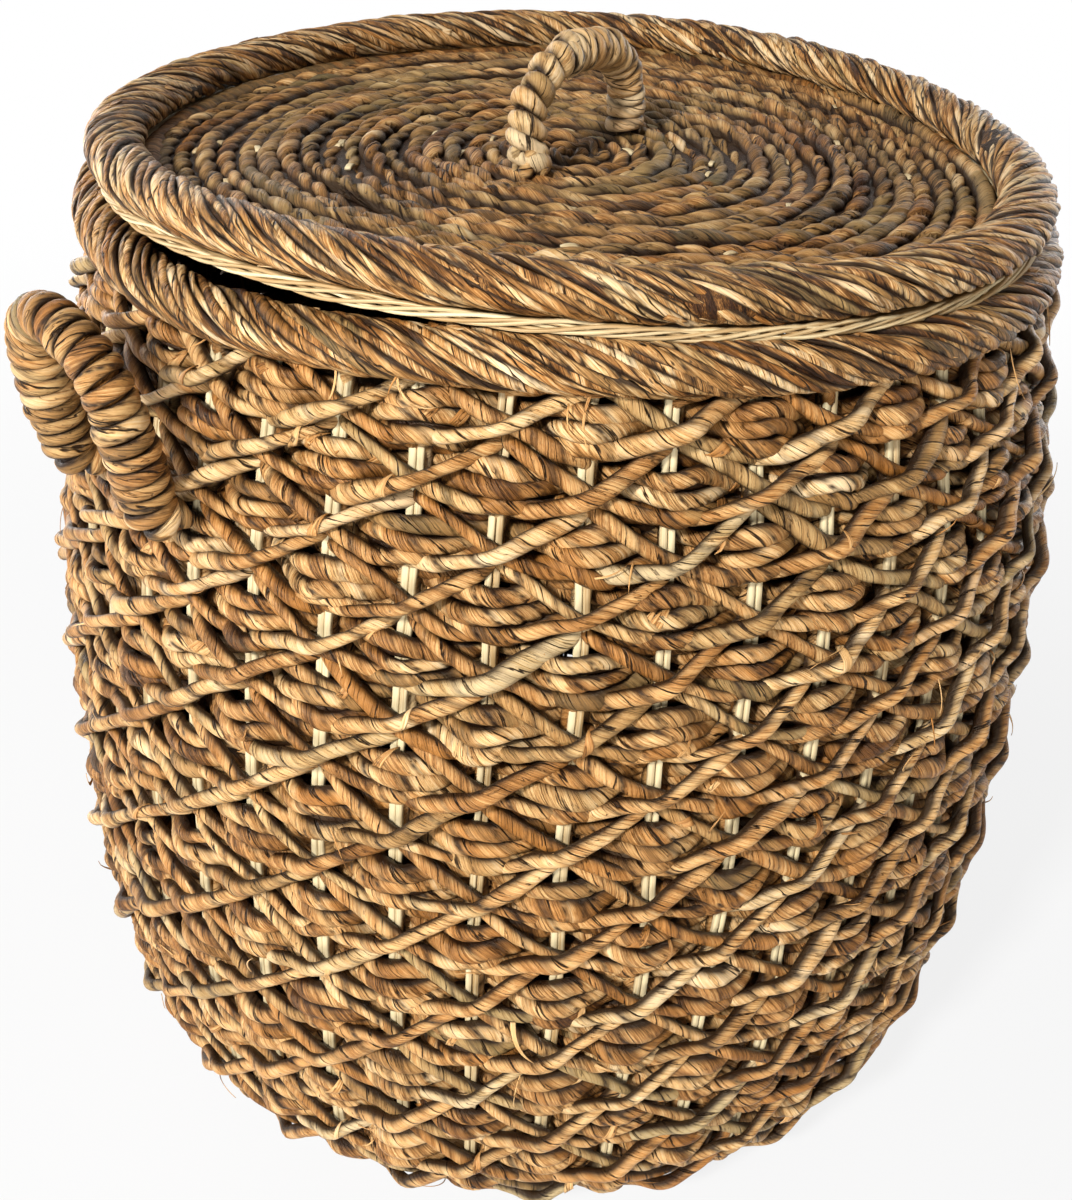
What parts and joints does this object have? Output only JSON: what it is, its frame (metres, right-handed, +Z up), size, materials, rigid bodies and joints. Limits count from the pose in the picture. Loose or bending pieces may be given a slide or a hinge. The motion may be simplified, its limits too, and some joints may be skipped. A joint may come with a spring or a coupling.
{
  "type": "woven lidded storage basket",
  "caption": "Round woven storage basket with a loose coiled lid, an arched lid handle and a stiff wrapped rope loop on each side.",
  "frame": {"origin": "middle of the underside, on the surface that the basket stands on", "axes": "+Z up; the side handles stand at -X and +X"},
  "size_m": [0.5032, 0.479, 0.5213],
  "materials": {
    "leaf_rope": "twisted dried banana leaf, matt with a slight waxy sheen",
    "stake_reed": "pale split rattan, matt",
    "border_rope": "thick bundle of banana leaf rope laid on the slant, matt",
    "handle_rope": "tightly wound banana leaf rope, slightly polished by use",
    "mat_rope": "coiled leaf rope, greyer and duller than the wall",
    "band_reed": "thin pale plaited reed, matt"
  },
  "bodies": {
    "basket": {"base_mat": "leaf_rope", "stake_frame": "stake_reed", "wall_row_01": "leaf_rope", "wall_row_02": "leaf_rope", "wall_row_03": "leaf_rope", "wall_row_04": "leaf_rope", "wall_row_05": "leaf_rope", "wall_row_06": "leaf_rope", "wall_row_07": "leaf_rope", "wall_row_08": "leaf_rope", "wall_row_09": "leaf_rope", "wall_row_10": "leaf_rope", "wall_row_11": "leaf_rope", "wall_row_12": "leaf_rope", "wall_row_13": "leaf_rope", "wall_row_14": "leaf_rope", "wall_row_15": "leaf_rope", "wall_row_16": "leaf_rope", "wall_row_17": "leaf_rope", "rim_border": "border_rope", "left_handle_core": "handle_rope", "left_handle_winding": "handle_rope", "right_handle_core": "handle_rope", "right_handle_winding": "handle_rope"},
    "lid": {"lid_reed_band": "band_reed", "lid_border": "border_rope", "lid_mat": "mat_rope", "lid_handle_rope": "handle_rope", "lid_handle_winding": "handle_rope"}
  },
  "joints": [
    {"name": "lid_lift", "type": "slide", "parent": "basket", "child": "lid", "axis": [0, 0, 1], "range_m": [0, 0.3]}
  ]
}
